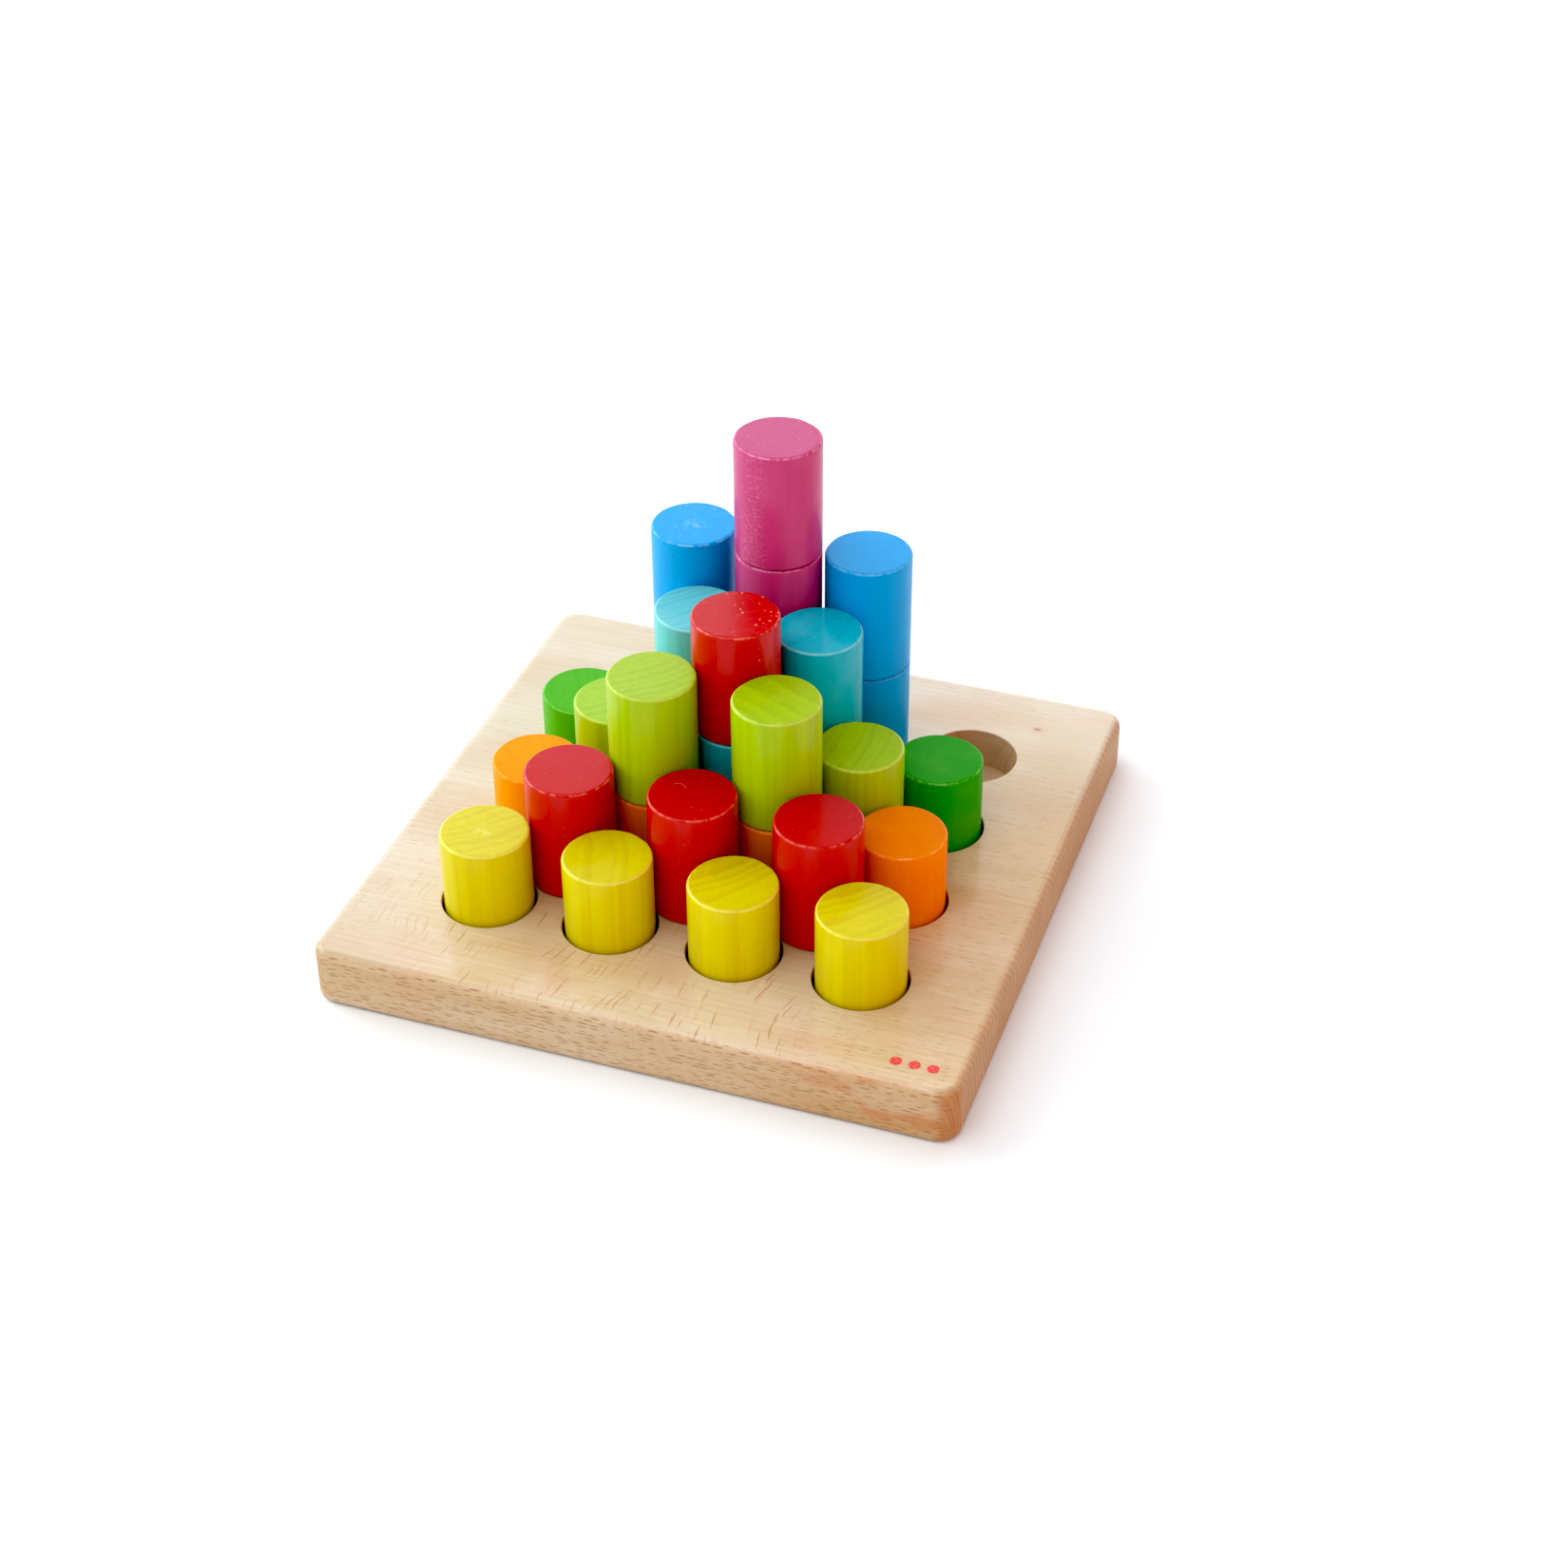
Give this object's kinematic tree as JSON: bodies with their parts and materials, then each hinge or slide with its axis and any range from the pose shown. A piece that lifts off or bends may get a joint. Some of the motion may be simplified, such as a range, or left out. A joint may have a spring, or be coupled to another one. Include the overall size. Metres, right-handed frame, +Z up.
{
  "type": "stacking peg board",
  "caption": "square wooden board with a grid of blind round sockets and thick coloured round wooden pegs, plugged in, standing between the sockets and stacked on each other",
  "frame": {"origin": "centre of the board's underside", "axes": "+Z up out of the sockets, -Y toward the front row of pegs, +X to the right along that row"},
  "size_m": [0.236, 0.236, 0.16],
  "materials": {
    "board_wood": "clear satin varnish over pale beech",
    "yellow_lacquer": "glossy yellow stain and lacquer on wood",
    "red_lacquer": "glossy red stain and lacquer on wood",
    "orange_lacquer": "glossy orange stain and lacquer on wood",
    "lime_lacquer": "glossy lime stain and lacquer on wood",
    "teal_lacquer": "glossy teal stain and lacquer on wood",
    "green_lacquer": "glossy green stain and lacquer on wood",
    "pink_lacquer": "glossy pink stain and lacquer on wood",
    "blue_lacquer": "glossy blue stain and lacquer on wood"
  },
  "bodies": {
    "board": {"board": "board_wood"},
    "yellow_1": {"yellow_1": "yellow_lacquer"},
    "yellow_2": {"yellow_2": "yellow_lacquer"},
    "yellow_3": {"yellow_3": "yellow_lacquer"},
    "yellow_4": {"yellow_4": "yellow_lacquer"},
    "red_1": {"red_1": "red_lacquer"},
    "red_2": {"red_2": "red_lacquer"},
    "red_3": {"red_3": "red_lacquer"},
    "orange_1": {"orange_1": "orange_lacquer"},
    "orange_2": {"orange_2": "orange_lacquer"},
    "orange_3": {"orange_3": "orange_lacquer"},
    "orange_4": {"orange_4": "orange_lacquer"},
    "lime_1": {"lime_1": "lime_lacquer"},
    "lime_2": {"lime_2": "lime_lacquer"},
    "lime_3": {"lime_3": "lime_lacquer"},
    "lime_4": {"lime_4": "lime_lacquer"},
    "teal_1": {"teal_1": "teal_lacquer"},
    "red_4": {"red_4": "red_lacquer"},
    "green_1": {"green_1": "green_lacquer"},
    "green_2": {"green_2": "green_lacquer"},
    "green_3": {"green_3": "green_lacquer"},
    "green_4": {"green_4": "green_lacquer"},
    "teal_2": {"teal_2": "teal_lacquer"},
    "teal_3": {"teal_3": "teal_lacquer"},
    "pink_1": {"pink_1": "pink_lacquer"},
    "pink_2": {"pink_2": "pink_lacquer"},
    "pink_3": {"pink_3": "pink_lacquer"},
    "blue_1": {"blue_1": "blue_lacquer"},
    "blue_2": {"blue_2": "blue_lacquer"},
    "blue_3": {"blue_3": "blue_lacquer"},
    "blue_4": {"blue_4": "blue_lacquer"}
  },
  "joints": [
    {"name": "yellow_1_lift", "type": "slide", "parent": "board", "child": "yellow_1", "axis": [0, 0, 1], "range_m": [0, 0.16]},
    {"name": "yellow_2_lift", "type": "slide", "parent": "board", "child": "yellow_2", "axis": [0, 0, 1], "range_m": [0, 0.16]},
    {"name": "yellow_3_lift", "type": "slide", "parent": "board", "child": "yellow_3", "axis": [0, 0, 1], "range_m": [0, 0.16]},
    {"name": "yellow_4_lift", "type": "slide", "parent": "board", "child": "yellow_4", "axis": [0, 0, 1], "range_m": [0, 0.16]},
    {"name": "red_1_lift", "type": "slide", "parent": "board", "child": "red_1", "axis": [0, 0, 1], "range_m": [0, 0.14]},
    {"name": "red_2_lift", "type": "slide", "parent": "board", "child": "red_2", "axis": [0, 0, 1], "range_m": [0, 0.14]},
    {"name": "red_3_lift", "type": "slide", "parent": "board", "child": "red_3", "axis": [0, 0, 1], "range_m": [0, 0.14]},
    {"name": "orange_1_lift", "type": "slide", "parent": "board", "child": "orange_1", "axis": [0, 0, 1], "range_m": [0, 0.16]},
    {"name": "orange_2_lift", "type": "slide", "parent": "board", "child": "orange_2", "axis": [0, 0, 1], "range_m": [0, 0.16]},
    {"name": "orange_3_lift", "type": "slide", "parent": "board", "child": "orange_3", "axis": [0, 0, 1], "range_m": [0, 0.16]},
    {"name": "orange_4_lift", "type": "slide", "parent": "board", "child": "orange_4", "axis": [0, 0, 1], "range_m": [0, 0.16]},
    {"name": "lime_1_lift", "type": "slide", "parent": "orange_2", "child": "lime_1", "axis": [0, 0, 1], "range_m": [0, 0.11]},
    {"name": "lime_2_lift", "type": "slide", "parent": "orange_3", "child": "lime_2", "axis": [0, 0, 1], "range_m": [0, 0.11]},
    {"name": "lime_3_lift", "type": "slide", "parent": "board", "child": "lime_3", "axis": [0, 0, 1], "range_m": [0, 0.14]},
    {"name": "lime_4_lift", "type": "slide", "parent": "board", "child": "lime_4", "axis": [0, 0, 1], "range_m": [0, 0.14]},
    {"name": "teal_1_lift", "type": "slide", "parent": "board", "child": "teal_1", "axis": [0, 0, 1], "range_m": [0, 0.14]},
    {"name": "red_4_lift", "type": "slide", "parent": "teal_1", "child": "red_4", "axis": [0, 0, 1], "range_m": [0, 0.095]},
    {"name": "green_1_lift", "type": "slide", "parent": "board", "child": "green_1", "axis": [0, 0, 1], "range_m": [0, 0.16]},
    {"name": "green_2_lift", "type": "slide", "parent": "board", "child": "green_2", "axis": [0, 0, 1], "range_m": [0, 0.16]},
    {"name": "green_3_lift", "type": "slide", "parent": "board", "child": "green_3", "axis": [0, 0, 1], "range_m": [0, 0.16]},
    {"name": "green_4_lift", "type": "slide", "parent": "board", "child": "green_4", "axis": [0, 0, 1], "range_m": [0, 0.16]},
    {"name": "teal_2_lift", "type": "slide", "parent": "green_2", "child": "teal_2", "axis": [0, 0, 1], "range_m": [0, 0.11]},
    {"name": "teal_3_lift", "type": "slide", "parent": "green_3", "child": "teal_3", "axis": [0, 0, 1], "range_m": [0, 0.11]},
    {"name": "pink_1_lift", "type": "slide", "parent": "board", "child": "pink_1", "axis": [0, 0, 1], "range_m": [0, 0.14]},
    {"name": "pink_2_lift", "type": "slide", "parent": "pink_1", "child": "pink_2", "axis": [0, 0, 1], "range_m": [0, 0.095]},
    {"name": "pink_3_lift", "type": "slide", "parent": "pink_2", "child": "pink_3", "axis": [0, 0, 1], "range_m": [0, 0.05]},
    {"name": "blue_1_lift", "type": "slide", "parent": "board", "child": "blue_1", "axis": [0, 0, 1], "range_m": [0, 0.14]},
    {"name": "blue_2_lift", "type": "slide", "parent": "blue_1", "child": "blue_2", "axis": [0, 0, 1], "range_m": [0, 0.095]},
    {"name": "blue_3_lift", "type": "slide", "parent": "board", "child": "blue_3", "axis": [0, 0, 1], "range_m": [0, 0.14]},
    {"name": "blue_4_lift", "type": "slide", "parent": "blue_3", "child": "blue_4", "axis": [0, 0, 1], "range_m": [0, 0.095]}
  ]
}
